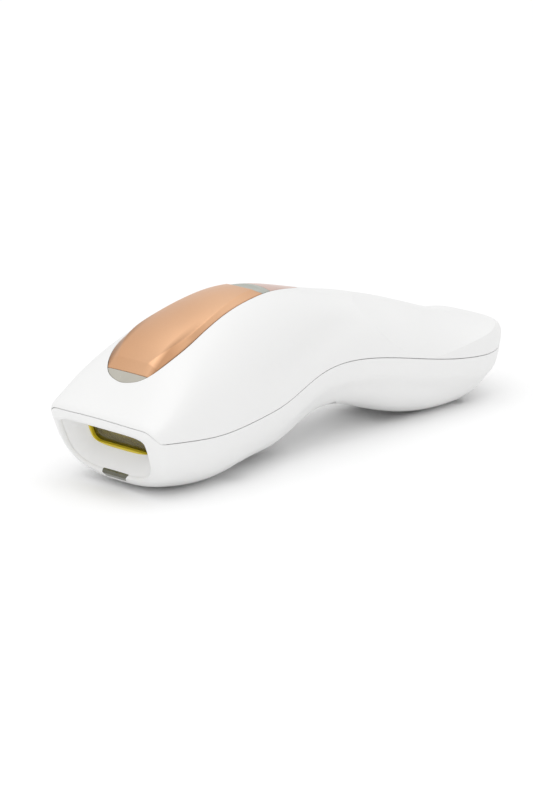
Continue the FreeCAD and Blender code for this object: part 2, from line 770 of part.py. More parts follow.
node(shape_object("status_lens", FIXED_BAND.common(leaf_prism(-0.15, x_to=LENS_EDGE))), "status_lens")
node(shape_object("treatment_button", treatment_button_shape()), "treatment_button")
node(shape_object("button_saddle", saddle_shape()), "button_saddle")
node(shape_object("mode_button", mode_button_shape()), "mode_button")
node(shape_object("button_tray", tray_shape()), "button_tray")
node(rod("pivot_pin", "pivot_radius", "pivot_length", (PIVOT_X, 0, PIVOT_Z), "y"), "pivot_pin")


def switch(prefix, x, top):
    """Push switch on its own small board: board, body with a hole, plunger."""
    body = block(prefix + "_body", "switch_size", "switch_size", "switch_height",
                 (x, 0, top - size("switch_height") / 2))
    hole = rod(prefix + "_hole", "plunger_radius + 0.03", "plunger_well * 2", (x, 0, top))
    node(cut(prefix + "_switch", body, hole), prefix + "_switch")
    node(rod(prefix + "_plunger", "plunger_radius", "plunger_height + plunger_root",
             (x, 0, top + 0.5 * (size("plunger_height") - size("plunger_root")))), prefix + "_plunger")
    board = block(prefix + "_board", "switch_size * 2", "switch_size * 1.8", "board_thick",
                  (x, 0, top - size("switch_height") - size("board_thick") / 2))
    node(board, prefix + "_switch_board")


switch("front", STEM_X, FRONT_SWITCH_TOP)
switch("mode", MODE_X, MODE_SWITCH_TOP)


def spring_shape(low, high):
    """Silicone return spring: a cone on a wide foot, open through its middle."""
    tall = high - low
    outline = [(2.4, 0.0), (2.9, 0.0), (2.9, 0.5), (2.3, tall), (1.8, tall), (2.4, 0.5)]
    points = [Vector(radius, 0, height) for radius, height in outline]
    face = Part.Face(Part.makePolygon(points + [points[0]]))
    return outward(face.revolve(Vector(0, 0, 0), Vector(0, 0, 1), 360))


spring = shape_object("mode_spring", spring_shape(MODE_SWITCH_TOP + 0.02, MODE_UNDER - 0.7))
node(put(spring, (MODE_X, 0, MODE_SWITCH_TOP + 0.02)), "mode_spring")

# ---------------------------------------------------------------------------
# Light path in the nose, along the nose's own axes
# ---------------------------------------------------------------------------

DEPTH = size("recess_depth")
LEVEL = size("window_level")
GLASS_U = DEPTH + 0.1
CARRIER_U = GLASS_U + size("glass_thick") + 0.2
LAMP_U = size("lamp_place")


def liner_shape():
    """Flat frame that edges the window, along the nose's own axes."""
    flange = Part.makeBox(DEPTH - FLANGE_U, size("flange_width"), size("flange_height"), Vector(
        FLANGE_U, -size("flange_width") / 2, LEVEL - size("flange_height") / 2))
    half, low, high = size("window_half"), size("window_down"), size("window_up")
    hole = Part.makeBox(4.0, 2 * half, low + high, Vector(FLANGE_U - 1.0, -half, LEVEL - low))
    hole = hole.makeFillet(size("window_corner"), [
        edge for edge in hole.Edges if abs(edge.tangentAt(edge.FirstParameter).x) > 0.9])
    return flange.cut(hole)


def reflector_face(grow):
    """Trough outline in the plane across the lamp, closed at its mouth."""
    half = size("reflector_half") + grow
    start = CARRIER_U + size("carrier_thick") + 0.1
    back = LAMP_U + 5.6 + grow
    arc = Part.Arc(Vector(start, 0, LEVEL - half), Vector(back, 0, LEVEL), Vector(start, 0, LEVEL + half))
    return Part.Face(Part.Wire([arc.toShape(), Part.makeLine(
        Vector(start, 0, LEVEL + half), Vector(start, 0, LEVEL - half))]))


def reflector_solid(grow, length, middle):
    """Trough outline given a length along the lamp."""
    face = reflector_face(grow)
    face.translate(Vector(0, middle - length / 2, 0))
    return outward(face.extrude(Vector(0, length, 0)))


node(put(shape_object("nose_insert", liner_shape()), (0, 0, 0), NOSE_FRAME), "nose_insert")
node(shape_object("skin_sensor_window", OUTER.common(sensor_prism(0.0)).cut(MOUTH)), "skin_sensor_window")
node(block("sensor_board", "1", "12", "3.4", (9.4, 0, -17.0), NOSE_FRAME), "sensor_board")
glass = block("filter_glass", "glass_thick", "glass_width", "glass_height",
              (GLASS_U + size("glass_thick") / 2, 0, LEVEL), NOSE_FRAME)
node(glass, "filter_glass")
node(frame_plate("glass_gasket", "glass_width + 2 * gasket_rim", "glass_height + 2 * gasket_rim",
                 "glass_width + 0.1", "glass_height + 0.1", "glass_thick", (GLASS_U, 0, LEVEL), NOSE_FRAME),
     "glass_gasket")
node(frame_plate("lamp_carrier", "carrier_width", "carrier_height", "carrier_hole_width",
                 "carrier_hole_height", "carrier_thick", (CARRIER_U, 0, LEVEL), NOSE_FRAME), "lamp_carrier")

trough = shape_object("reflector", reflector_solid(size("reflector_sheet"), size("reflector_length"), 0).cut(
    reflector_solid(0.0, size("reflector_length") + 2, 0)))
put(trough, (0, 0, 0), NOSE_FRAME)
node(trough, "reflector")
cheek_place = size("reflector_length") / 2 + 0.5
cheek_hole = Part.makeCylinder(size("lamp_radius") + 0.2, 60, Vector(LAMP_U, -30, LEVEL), Vector(0, 1, 0))
cheeks = Part.makeCompound([
    reflector_solid(size("reflector_sheet"), 0.8, side * cheek_place).cut(cheek_hole) for side in (-1, 1)])
node(put(shape_object("reflector_cheeks", cheeks), (0, 0, 0), NOSE_FRAME), "reflector_cheeks")

node(rod("lamp_tube", "lamp_radius", "lamp_length", (LAMP_U, 0, LEVEL), "y", NOSE_FRAME), "lamp_tube")
CAP_Y = (size("lamp_length") + size("lamp_cap_length")) / 2
caps = [rod("lamp_cap%d" % n, "lamp_cap_radius", "lamp_cap_length", (LAMP_U, side * CAP_Y, LEVEL), "y", NOSE_FRAME)
        for n, side in enumerate((-1, 1))]
node(group("lamp_caps", *caps), "lamp_caps")
holders = []
for number, side in enumerate((-1, 1)):
    holder_u = CARRIER_U + size("carrier_thick") + 0.05 + size("holder_depth") / 2
    base = block("holder%d" % number, "holder_depth", "holder_thick", "holder_height",
                 (holder_u, side * CAP_Y, LEVEL), NOSE_FRAME)
    hole = rod("holder_hole%d" % number, "lamp_cap_radius + 0.02", "holder_thick * 2",
               (LAMP_U, side * CAP_Y, LEVEL), "y", NOSE_FRAME)
    holders.append(cut("lamp_holder%d" % number, base, hole))
node(group("lamp_holders", *holders), "lamp_holders")

node(block("status_board", "8", "8", "board_thick / 2", (15.5, 0, 1.2), NOSE_FRAME), "status_board")
guide = Part.makeCylinder(1.9, 14.0, Vector(15.5, 0, 1.7))
guide.Placement = NOSE_FRAME.multiply(guide.Placement)
node(shape_object("light_guide", guide.common(skin_solid(size("tray_pocket") + 0.05))), "light_guide")

# Heat sink: a base with a row of fins, behind the reflector.
sink, base_sketch = sketch_body("heat_sink", "YZ_Plane", NOSE_FRAME, (25.2, 0, LEVEL))
draw_rectangle(base_sketch, "sink_width", "sink_height")
pad(sink, base_sketch, "sink_base")
fin_sketch = sink.newObject("Sketcher::SketchObject", "fin_sketch")
fin_sketch.AttachmentSupport = base_sketch.AttachmentSupport
fin_sketch.MapMode = "FlatFace"
for a, b in (((0, 0), (1, 0)), ((1, 0), (1, 1)), ((1, 1), (0, 1)), ((0, 1), (0, 0))):
    fin_sketch.addGeometry(Part.LineSegment(Vector(a[0], a[1], 0), Vector(b[0], b[1], 0)), False)
for index in range(4):
    fin_sketch.addConstraint(Sketcher.Constraint("Coincident", index, 2, (index + 1) % 4, 1))
for index in (0, 2):
    fin_sketch.addConstraint(Sketcher.Constraint("Horizontal", index))
    fin_sketch.addConstraint(Sketcher.Constraint("Vertical", index + 1))
for name, first, second, kind, expression in (
        ("fin_wide", (0, 1), (0, 2), "DistanceX", "fin_thick"),
        ("fin_tall", (1, 1), (1, 2), "DistanceY", "sink_height"),
        ("fin_left", (0, 1), (-1, 1), "DistanceX", "sink_width / 2"),
        ("fin_low", (0, 1), (-1, 1), "DistanceY", "sink_height / 2")):
    number = fin_sketch.addConstraint(Sketcher.Constraint(kind, first[0], first[1], second[0], second[1], 1.0))
    fin_sketch.renameConstraint(number, name)
    bind(fin_sketch, "Constraints." + name, expression)
fin = pad(sink, fin_sketch, "sink_base + fin_height")
doc.recompute()
fins = sink.newObject("PartDesign::LinearPattern", "fins")
fins.Originals = [fin]
fins.Direction = (fin_sketch, ["H_Axis"])
bind(fins, "Length", "sink_width - fin_thick")
bind(fins, "Occurrences", "fin_count")
sink.Tip = fins
node(sink, "heat_sink")

# ---------------------------------------------------------------------------
# Fan behind the light path
# ---------------------------------------------------------------------------

FAN_X = -46.0
FAN_Z = 28.0
housing = block("fan_box", "fan_depth", "fan_size", "fan_size", (FAN_X + size("fan_depth") / 2, 0, FAN_Z))
bore = rod("fan_space", "fan_bore", "fan_depth * 2", (FAN_X, 0, FAN_Z), "x")
struts = [block("fan_strut%d" % n, "1.4", wide, tall, (FAN_X + size("fan_depth") - 0.7, 0, FAN_Z))
          for n, (wide, tall) in enumerate((("fan_size - 1", "2"), ("2", "fan_size - 1")))]
mount = rod("fan_mount", "fan_hub", "1.4", (FAN_X + size("fan_depth") - 0.7, 0, FAN_Z), "x")
ring = cut("fan_ring", housing, bore)
shaft_hole = rod("fan_shaft_hole", "shaft_radius", "fan_depth * 2", (FAN_X, 0, FAN_Z), "x")
node(cut("fan_housing", fuse("fan_joined", ring, mount, *struts), shaft_hole), "fan_housing")
node(rod("fan_shaft", "shaft_radius", "fan_depth - 1", (FAN_X + size("fan_depth") / 2 + 0.5, 0, FAN_Z), "x"),
     "fan_shaft")

rotor, hub_sketch = sketch_body("fan_rotor", "YZ_Plane", WORLD, (FAN_X + 0.8, 0, FAN_Z))
draw_circle(hub_sketch, "fan_hub", "hub_radius")
draw_circle(hub_sketch, "shaft_radius + 0.04", "shaft_bore")
pad(rotor, hub_sketch, "fan_depth - 2.6")
blade_sketch = rotor.newObject("Sketcher::SketchObject", "blade_sketch")
blade_sketch.AttachmentSupport = hub_sketch.AttachmentSupport
blade_sketch.MapMode = "FlatFace"
BLADE = ((4.5, -0.4), (12.2, -2.4), (12.35, -1.6), (4.5, 0.5))
for index in range(4):
    start, stop = BLADE[index], BLADE[(index + 1) % 4]
    blade_sketch.addGeometry(Part.LineSegment(Vector(start[0], start[1], 0), Vector(stop[0], stop[1], 0)), False)
for index in range(4):
    blade_sketch.addConstraint(Sketcher.Constraint("Coincident", index, 2, (index + 1) % 4, 1))
    blade_sketch.addConstraint(Sketcher.Constraint("DistanceX", index, 1, BLADE[index][0]))
    blade_sketch.addConstraint(Sketcher.Constraint("DistanceY", index, 1, BLADE[index][1]))
blade = pad(rotor, blade_sketch, "fan_depth - 3")
doc.recompute()
blades = rotor.newObject("PartDesign::PolarPattern", "blades")
blades.Originals = [blade]
blades.Axis = (blade_sketch, ["N_Axis"])
blades.Angle = 360.0
bind(blades, "Occurrences", "blade_count")
rotor.Tip = blades
node(rotor, "fan_rotor")

duct_outer = block("duct_outer", "9", "26", "26", (-52.0, 0, 27.0))
duct_inner = block("duct_inner", "12", "24", "24", (-52.0, 0, 27.0))
node(cut("air_duct", duct_outer, duct_inner), "air_duct")

# ---------------------------------------------------------------------------
# Electronics in the neck and the handle
# ---------------------------------------------------------------------------

HANDLE_FRAME = Placement(Vector(32.0, 0, 19.8), Rotation(Vector(0, 1, 0), 9.0))
node(block("power_board", "board_thick", "30", "24", (-33.0, 0, 30.0)), "power_board")
node(rod("trigger_transformer", "5", "11", (-26.0, -7.0, 30.0), "x"), "trigger_transformer")
choke = doc.addObject("Part::Torus", "filter_choke")
choke.Radius1 = 5.0
choke.Radius2 = 2.2
put(choke, (-29.8, 7.0, 30.0), WORLD, ALONG["x"])
node(choke, "filter_choke")
node(rod("flash_capacitor", "can_radius", "can_length", (0, 0, 0), "x", HANDLE_FRAME), "flash_capacitor")
clamps = []
for number, place in enumerate((-14.0, 14.0)):
    body = block("clamp_body%d" % number, "5", "can_radius * 2 + 4", "can_radius * 2 + 1.8",
                 (place, 0, -0.1), HANDLE_FRAME)
    hole = rod("clamp_hole%d" % number, "can_radius + 0.05", "10", (place, 0, 0), "x", HANDLE_FRAME)
    clamps.append(cut("clamp%d" % number, body, hole))
node(group("capacitor_clamps", *clamps), "capacitor_clamps")
node(block("main_board", "can_length", "26", "board_thick", (0, 0, 12.4), HANDLE_FRAME), "main_board")
CHIPS = (
    (-14.0, 4.0, 9.0, 9.0, 1.6), (2.0, -5.0, 6.0, 6.0, 1.2), (10.0, 6.0, 5.0, 8.0, 2.4),
    (-16.0, -8.0, 7.0, 4.0, 3.0), (15.0, -6.0, 8.0, 5.0, 2.0),
)
chips = [block("chip%d" % n, a, b, c, (x, y, 13.25 + c / 2), HANDLE_FRAME)
         for n, (x, y, a, b, c) in enumerate(CHIPS)]
node(group("board_parts", *chips), "board_parts")

# Power inlet in the tail: a sleeve flush with the skin and its centre pin.
sleeve = socket_space(size("socket_radius") - 0.02, 82.0).common(OUTER)
sleeve = sleeve.cut([socket_space(size("socket_guide"), SOCKET_STEP), socket_space(size("socket_bore"), 83.0)])
node(shape_object("power_socket", sleeve), "power_socket")
node(rod("socket_pin", "pin_radius", "5.4", (85.7, 0, SOCKET_HEIGHT), "x"), "socket_pin")
node(block("socket_board", "board_thick", "14", "12", (80.9, 0, SOCKET_HEIGHT)), "socket_board")


def screw_shape(x, y, meet):
    """Pan-head screw standing head down in its boss."""
    seat = meet - SEAT_DEPTH
    head = post(x, y, seat - size("screw_head_height"), seat, size("screw_head"))
    shank = post(x, y, seat, seat + size("screw_length"), size("screw_shank"))
    slot = Part.makeBox(4.0, 0.8, 0.8, Vector(x - 2.0, y - 0.4, seat - size("screw_head_height")))
    return head.fuse(shank).cut(slot)


node(shape_object("shell_screws", Part.makeCompound([screw_shape(*place) for place in SCREWS])), "shell_screws")

# ---------------------------------------------------------------------------
# Check everything, then write one file for each sub-part
# ---------------------------------------------------------------------------

doc.recompute()
for thing in doc.Objects:
    if "Invalid" in thing.State or "Error" in thing.State:
        raise RuntimeError("%s did not recompute: %s" % (thing.Label, thing.State))
for thing in NODES:
    shape = thing.Shape
    if shape.isNull() or not shape.isValid() or not shape.Solids:
        raise RuntimeError("%s has no valid solid" % thing.Label)
    shape.exportStep("parts/%s.step" % thing.Label)
    print("%-20s %2d %9.1f" % (thing.Label, len(shape.Solids), sum(s.Volume for s in shape.Solids)))
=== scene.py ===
"""Finishes, small parts and studio for a hand-held light hair remover."""

import math

import bmesh
import bpy
from bpy.props import FloatProperty, FloatVectorProperty, IntProperty, PointerProperty
from mathutils import Matrix, Vector


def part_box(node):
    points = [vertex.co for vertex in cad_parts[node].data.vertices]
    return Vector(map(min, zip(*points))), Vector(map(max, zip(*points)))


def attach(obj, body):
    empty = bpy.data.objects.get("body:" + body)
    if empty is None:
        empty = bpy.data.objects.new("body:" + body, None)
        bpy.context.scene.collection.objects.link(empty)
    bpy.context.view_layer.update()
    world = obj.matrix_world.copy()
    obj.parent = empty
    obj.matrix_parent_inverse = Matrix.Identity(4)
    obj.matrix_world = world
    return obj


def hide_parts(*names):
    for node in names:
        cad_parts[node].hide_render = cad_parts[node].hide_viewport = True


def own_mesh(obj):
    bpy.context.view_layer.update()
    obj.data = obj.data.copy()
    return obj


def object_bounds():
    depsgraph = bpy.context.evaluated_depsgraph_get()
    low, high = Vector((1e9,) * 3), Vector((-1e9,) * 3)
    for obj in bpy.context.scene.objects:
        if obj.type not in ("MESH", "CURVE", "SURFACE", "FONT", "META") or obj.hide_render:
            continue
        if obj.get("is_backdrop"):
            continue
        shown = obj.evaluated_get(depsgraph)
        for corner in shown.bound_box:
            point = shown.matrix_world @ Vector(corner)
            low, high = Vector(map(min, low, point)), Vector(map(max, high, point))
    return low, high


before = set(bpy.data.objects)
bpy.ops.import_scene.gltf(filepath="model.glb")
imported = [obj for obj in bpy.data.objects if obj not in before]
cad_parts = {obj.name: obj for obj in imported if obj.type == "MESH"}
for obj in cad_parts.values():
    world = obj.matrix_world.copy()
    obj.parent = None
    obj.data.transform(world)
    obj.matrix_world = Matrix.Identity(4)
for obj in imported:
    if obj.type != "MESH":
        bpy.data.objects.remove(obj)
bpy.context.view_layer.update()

bl_info = {
    "name": "Light Hair Remover",
    "version": (1, 0, 0),
    "blender": (4, 5, 0),
    "location": "3D View > Sidebar > Hair Remover",
    "description": "Finishes, small parts and studio for a hand-held light hair remover",
    "category": "Object",
}

HOUSING = "housing"

# Painted shade on the front flanks of the large button, in metres from the middle planes: where the darker
# painted shade starts, and where it is full.
SHADE_FLANK_BESIDE = (0.0084, 0.0104)
SHADE_FLANK_AHEAD = (0.056, 0.072)

# Trigger wire: share of the lamp tube that it covers, and how finely its turns and its section are divided.
WOUND_SHARE = 0.72
STEPS_A_TURN = 20
WIRE_SIDES = 8

# Steps of a full turn when an outline is spun.
RING_STEPS = 48

# Stage, in metres: half the floor's side, how far it lies below the part, the overhead light's spread and
# direction, the side light, and the point that the camera looks at.
FLOOR_HALF = 40.0
FLOOR_DROP = 0.00005
SUN_SPREAD = math.radians(70.0)
SUN_DIRECTION = (0.12, 0.05, -1.0)
SIDE_PLACE = (-0.9, -0.5, 0.5)
SIDE_SIZE = (0.6, 0.8)
SIDE_AIM = (0.0, 0.0, 0.02)
CAMERA_AIM = (-0.0166, 0.0, 0.01537)


def colour_property(name, description, default):
    """Linear colour that a user can change."""
    return FloatVectorProperty(
        name=name, description=description, default=default, subtype="COLOR", size=3, min=0.0, max=1.0)


def length_property(name, description, default):
    """Length in metres that a user can change."""
    return FloatProperty(
        name=name, description=description, default=default, unit="LENGTH", subtype="DISTANCE", precision=5)


# ---------------------------------------------------------------------------
# Material building
# ---------------------------------------------------------------------------


class Finish:
    """A node material built around one Principled shader on Object coordinates."""

    def __init__(self, name, **sockets):
        self.material = bpy.data.materials.new(name)
        self.material.use_nodes = True
        self.tree = self.material.node_tree
        self.shader = self.tree.nodes["Principled BSDF"]
        self.place = self.add("ShaderNodeTexCoord").outputs["Object"]
        self.normal = None
        for socket, value in sockets.items():
            self.set(socket.replace("_", " "), value)

    def add(self, kind, **values):
        """Add a node; keywords that name one of its properties are set on it."""
        node = self.tree.nodes.new(kind)
        for key, value in values.items():
            setattr(node, key, value)
        return node

    def link(self, source, target):
        """Join two sockets."""
        self.tree.links.new(source, target)

    def set(self, socket, value):
        """Set one of the shader's own sockets."""
        target = self.shader.inputs[socket]
        target.default_value = (*value, 1.0) if target.type == "RGBA" else value

    def noise(self, scale, detail=3.0, roughness=0.5, stretch=(1.0, 1.0, 1.0), turn=(0.0, 0.0, 0.0)):
        """Noise factor at so many repeats a metre."""
        mapping = self.add("ShaderNodeMapping")
        mapping.inputs["Scale"].default_value = stretch
        mapping.inputs["Rotation"].default_value = turn
        self.link(self.place, mapping.inputs["Vector"])
        node = self.add("ShaderNodeTexNoise")
        node.inputs["Scale"].default_value = scale
        node.inputs["Detail"].default_value = detail
        node.inputs["Roughness"].default_value = roughness
        self.link(mapping.outputs["Vector"], node.inputs["Vector"])
        return node.outputs["Fac"]

    def bands(self, scale, axis="X", profile="SIN", distortion=0.0):
        """Regular bands across one axis, so many a metre."""
        node = self.add("ShaderNodeTexWave", bands_direction=axis, wave_profile=profile)
        node.inputs["Scale"].default_value = scale
        node.inputs["Distortion"].default_value = distortion
        self.link(self.place, node.inputs["Vector"])
        return node.outputs["Fac"]

    def cells(self, scale, feature="F1"):
        """Voronoi distance at so many cells a metre."""
        node = self.add("ShaderNodeTexVoronoi", feature=feature)
        node.inputs["Scale"].default_value = scale
        self.link(self.place, node.inputs["Vector"])
        return node.outputs["Distance"]

    def spread(self, factor, low, high, start=0.3, end=0.7):
        """Number that goes from low to high with a factor."""
        node = self.add("ShaderNodeMapRange")
        for socket, value in zip(("From Min", "From Max", "To Min", "To Max"), (start, end, low, high)):
            node.inputs[socket].default_value = value
        self.link(factor, node.inputs["Value"])
        return node.outputs["Result"]

    def between(self, factor, first, second):
        """Colour that goes from one to another with a factor."""
        node = self.add("ShaderNodeMix", data_type="RGBA")
        for index, value in ((6, first), (7, second)):
            if isinstance(value, bpy.types.NodeSocket):
                self.link(value, node.inputs[index])
            else:
                node.inputs[index].default_value = (*value[:3], 1.0)
        self.link(factor, node.inputs[0])
        return node.outputs[2]

    def distance(self, axis):
        """Distance from the middle plane across one axis, in metres."""
        parts = self.add("ShaderNodeSeparateXYZ")
        self.link(self.place, parts.inputs[0])
        away = self.add("ShaderNodeMath", operation="ABSOLUTE")
        self.link(parts.outputs[axis], away.inputs[0])
        return away.outputs[0]

    def multiply(self, first, second):
        """Product of two factors."""
        node = self.add("ShaderNodeMath", operation="MULTIPLY")
        self.link(first, node.inputs[0])
        self.link(second, node.inputs[1])
        return node.outputs[0]

    def colour(self, factor, first, second):
        """Vary the base colour."""
        self.link(self.between(factor, first, second), self.shader.inputs["Base Color"])
        return self

    def rough(self, factor, low, high):
        """Vary the roughness."""
        self.link(self.spread(factor, low, high), self.shader.inputs["Roughness"])
        return self

    def soft_edges(self, radius):
        """Catch light along sharp edges as if they were rounded."""
        node = self.add("ShaderNodeBevel", samples=8)
        node.inputs["Radius"].default_value = radius
        self.normal = node.outputs["Normal"]
        self.link(self.normal, self.shader.inputs["Normal"])
        return self

    def bump(self, factor, depth, strength=1.0):
        """Add relief of a depth in metres; several add up."""
        node = self.add("ShaderNodeBump")
        node.inputs["Distance"].default_value = depth
        node.inputs["Strength"].default_value = strength
        self.link(factor, node.inputs["Height"])
        if self.normal is not None:
            self.link(self.normal, node.inputs["Normal"])
        self.normal = node.outputs["Normal"]
        self.link(self.normal, self.shader.inputs["Normal"])
        return self


def shade(colour, factor):
    """Colour made lighter or darker."""
    return tuple(min(1.0, part * factor) for part in colour)


def dress(name, material):
    """Give a CAD node's slots a finish."""
    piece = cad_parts[name]
    for place in piece.material_slots:
        place.material = material


def white_shell(name, colour, roughness):
    """Glossy white moulded shell with a faint mould texture and soft handling marks."""
    made = Finish(name, Specular_IOR_Level=0.45, Coat_Weight=0.15, Coat_Roughness=0.25)
    broad = made.noise(28.0, 2.0)
    made.colour(made.spread(broad, 0.0, 1.0), shade(colour, 0.985), colour)
    made.rough(made.noise(240.0, 2.0), roughness * 0.94, roughness * 1.06)
    made.bump(made.noise(60.0, 1.0), 0.00001, 0.15)
    return made.material


def metallic_lacquer(name, colour, deep, roughness, metallic=0.85, edge=0.0002, shaded_flank=None):
    """Satin metallic lacquer: fine flakes over a warm tint that deepens in patches, with painted shade down
    its front flanks.
    """
    made = Finish(name, Metallic=metallic, Coat_Weight=0.2, Coat_Roughness=0.2)
    broad = made.noise(22.0, 1.0)
    flakes = made.cells(4200.0)
    tint = made.between(made.spread(broad, 0.0, 1.0), deep, colour)
    sparkle = made.between(made.spread(flakes, 0.0, 0.10, 0.1, 0.8), tint, shade(colour, 1.2))
    # Painted shade: the colour darkens towards the button's front flanks, in place of the darker reflection
    # there.
    if shaded_flank:
        shade_beside = made.spread(made.distance("Y"), 0.0, 1.0, *shaded_flank)
        shade_ahead = made.spread(made.distance("X"), 0.0, 1.0, *SHADE_FLANK_AHEAD)
        sparkle = made.between(made.multiply(shade_beside, shade_ahead), sparkle, shade(deep, 0.62))
    made.link(sparkle, made.shader.inputs["Base Color"])
    made.rough(made.noise(300.0, 2.0), roughness * 0.92, roughness * 1.08)
    made.soft_edges(edge)
    return made.material


def moulded(name, colour, roughness, grain=0.00001):
    """Plain moulded plastic or rubber with spark-eroded grain."""
    made = Finish(name)
    broad = made.noise(60.0, 3.0)
    fine = made.noise(2200.0, 3.0)
    made.colour(made.spread(broad, 0.0, 1.0), shade(colour, 0.9), shade(colour, 1.06))
    made.rough(fine, roughness * 0.85, roughness * 1.15)
    made.bump(fine, grain, 0.6)
    return made.material


def turned_metal(name, colour, roughness, axis="X"):
    """Drawn or turned metal with fine lines round one axis."""
    made = Finish(name, Metallic=1.0)
    stretch = {"X": (0.04, 1.0, 1.0), "Y": (1.0, 0.04, 1.0), "Z": (1.0, 1.0, 0.04)}[axis]
    lines = made.noise(2600.0, 2.0, 0.6, stretch)
    made.colour(made.spread(made.noise(180.0), 0.0, 1.0), shade(colour, 0.88), colour)
    made.rough(lines, roughness * 0.75, roughness * 1.3)
    made.bump(lines, 0.000006, 0.5)
    return made.material


def circuit_board(name, mask, trace, copper):
    """Solder mask over copper tracks, with bare pads."""
    made = Finish(name, Specular_IOR_Level=0.6, Coat_Weight=0.4, Coat_Roughness=0.25)
    across = made.bands(190.0, "Y", "SAW", 4.0)
    along = made.bands(170.0, "X", "SAW", 3.0)
    tracks = made.add("ShaderNodeMath", operation="MAXIMUM")
    made.link(made.spread(across, 0.0, 1.0, 0.80, 0.84), tracks.inputs[0])
    made.link(made.spread(along, 0.0, 1.0, 0.86, 0.90), tracks.inputs[1])
    masked = made.between(tracks.outputs[0], mask, trace)
    pads = made.spread(made.cells(420.0), 1.0, 0.0, 0.10, 0.14)
    made.link(made.between(pads, masked, copper), made.shader.inputs["Base Color"])
    made.link(made.spread(pads, 0.0, 0.8, 0.0, 1.0), made.shader.inputs["Metallic"])
    made.rough(made.noise(900.0), 0.32, 0.5)
    made.bump(tracks.outputs[0], 0.00004, 0.6)
    return made.material


def clear_glass(name, tint, roughness=0.02, transmission=1.0, ior=1.47):
    """Clear or tinted glass with faint waviness and a trace of dust."""
    made = Finish(name, Transmission_Weight=transmission, IOR=ior)
    dust = made.noise(700.0, 4.0)
    made.colour(made.spread(dust, 0.0, 1.0, 0.35, 0.75), tint, shade(tint, 0.93))
    made.rough(dust, roughness, roughness * 3.0)
    made.bump(made.noise(90.0, 1.0), 0.00001, 0.2)
    return made.material


def wound_coil(name, colour, turns):
    """Varnished wire wound side by side; its colour is painted darker in the grooves between turns and
    lighter on their crests, as painted shade and painted highlight.
    """
    made = Finish(name, Metallic=0.6, Coat_Weight=0.6, Coat_Roughness=0.15)
    turn_relief_and_shade = made.bands(turns, "X")
    # Painted shade in the grooves between turns and a painted highlight on their crests; the same bands also
    # give the relief.
    made.colour(turn_relief_and_shade, shade(colour, 0.45), shade(colour, 1.15))
    made.rough(made.noise(800.0), 0.25, 0.4)
    made.bump(turn_relief_and_shade, 0.00018, 0.9)
    return made.material


# ---------------------------------------------------------------------------
# Mesh building
# ---------------------------------------------------------------------------


def new_piece(name, mesh_source, material):
    """Object at the origin from a bmesh, smooth, with its finish."""
    mesh = bpy.data.meshes.new(name)
    bmesh.ops.recalc_face_normals(mesh_source, faces=mesh_source.faces)
    mesh_source.to_mesh(mesh)
    mesh_source.free()
    piece = bpy.data.objects.new(name, mesh)
    bpy.context.scene.collection.objects.link(piece)
    mesh.materials.append(material)
    for face in mesh.polygons:
        face.use_smooth = True
    return piece


def turned_shape(outline, centre):
    """Bmesh of a closed outline of radius and height, spun a full turn about Z."""
    shape = bmesh.new()
    corners = [shape.verts.new(Vector(centre) + Vector((radius, 0, height))) for radius, height in outline]
    ring = [shape.edges.new((first, second)) for first, second in zip(corners, corners[1:] + corners[:1])]
    bmesh.ops.spin(
        shape, geom=corners + ring, cent=centre, axis=(0, 0, 1), dvec=(0, 0, 0),
        angle=2 * math.pi, steps=RING_STEPS, use_merge=True)
    return shape


# ---------------------------------------------------------------------------
# Sizes and colours
# ---------------------------------------------------------------------------


class HousingSettings(bpy.types.PropertyGroup):
    """Finish of the two shells."""

    white: colour_property("White", "Colour of the shells", (0.83, 0.83, 0.826))
    roughness: FloatProperty(
        name="Roughness", description="Surface roughness of the shells", default=0.38, min=0.0, max=1.0)


class PlateSettings(bpy.types.PropertyGroup):
    """Finish of the plate on the head."""

    gold: colour_property("Gold", "Lacquer of the large button", (0.82, 0.49, 0.29))
    # Deep gold also sets the painted shade on the large button's front flanks.
    gold_deep: colour_property("Deep gold", "Darker patches of the lacquer", (0.66, 0.35, 0.18))
    dip: colour_property("Dip", "Silvery piece behind the large button", (0.50, 0.52, 0.46))
    tail: colour_property("Tail piece", "Pinkish rear button", (0.74, 0.50, 0.42))
    lens: colour_property("Lens", "Grey lens in front of the plate", (0.46, 0.44, 0.38))
    crease: length_property("Crease", "Rounding of the large button's edges", 0.0006)


class WindowSettings(bpy.types.PropertyGroup):
    """Finish of the light window."""

    yellow: colour_property("Yellow", "Tint of the filter glass", (0.62, 0.50, 0.01))
    rim: colour_property("Rim", "Frame that edges the glass", (0.72, 0.56, 0.02))
    sensor: colour_property("Sensor", "Dark window on the lower lip", (0.10, 0.10, 0.06))


class LampSettings(bpy.types.PropertyGroup):
    """Trigger wire of the flash lamp."""

    wire: length_property("Wire radius", "Radius of the trigger wire", 0.00015)
    turns: IntProperty(name="Turns", description="Turns of the trigger wire", default=9, min=1)


class StudioSettings(bpy.types.PropertyGroup):
    """Camera and lights."""

    focal: FloatProperty(name="Focal length", description="Camera lens in millimetres", default=135.5)
    azimuth: FloatProperty(
        name="Azimuth", description="Turn of the camera round the object", default=math.radians(-46.2),
        subtype="ANGLE")
    elevation: FloatProperty(
        name="Elevation", description="Height angle of the camera", default=math.radians(15.55),
        subtype="ANGLE")
    distance: length_property("Distance", "From the camera to the point it looks at", 1.0)
    key: FloatProperty(name="Key light", description="Strength of the overhead light", default=0.8)
    fill: FloatProperty(name="Fill light", description="Power of the side light", default=0.8)
    room: FloatProperty(name="Room", description="Strength of the room's own light", default=0.84)


# ---------------------------------------------------------------------------
# Operators
# ---------------------------------------------------------------------------


class HAIRREMOVER_OT_housing(bpy.types.Operator):
    """Finish the two shells"""

    bl_idname = "hairremover.housing"
    bl_label = "Housing"

    def execute(self, context):
        settings = context.scene.hairremover_housing
        shell = white_shell("white shell", settings.white, settings.roughness)
        for name in ("lower_shell", "upper_shell"):
            dress(name, shell)
        return {"FINISHED"}


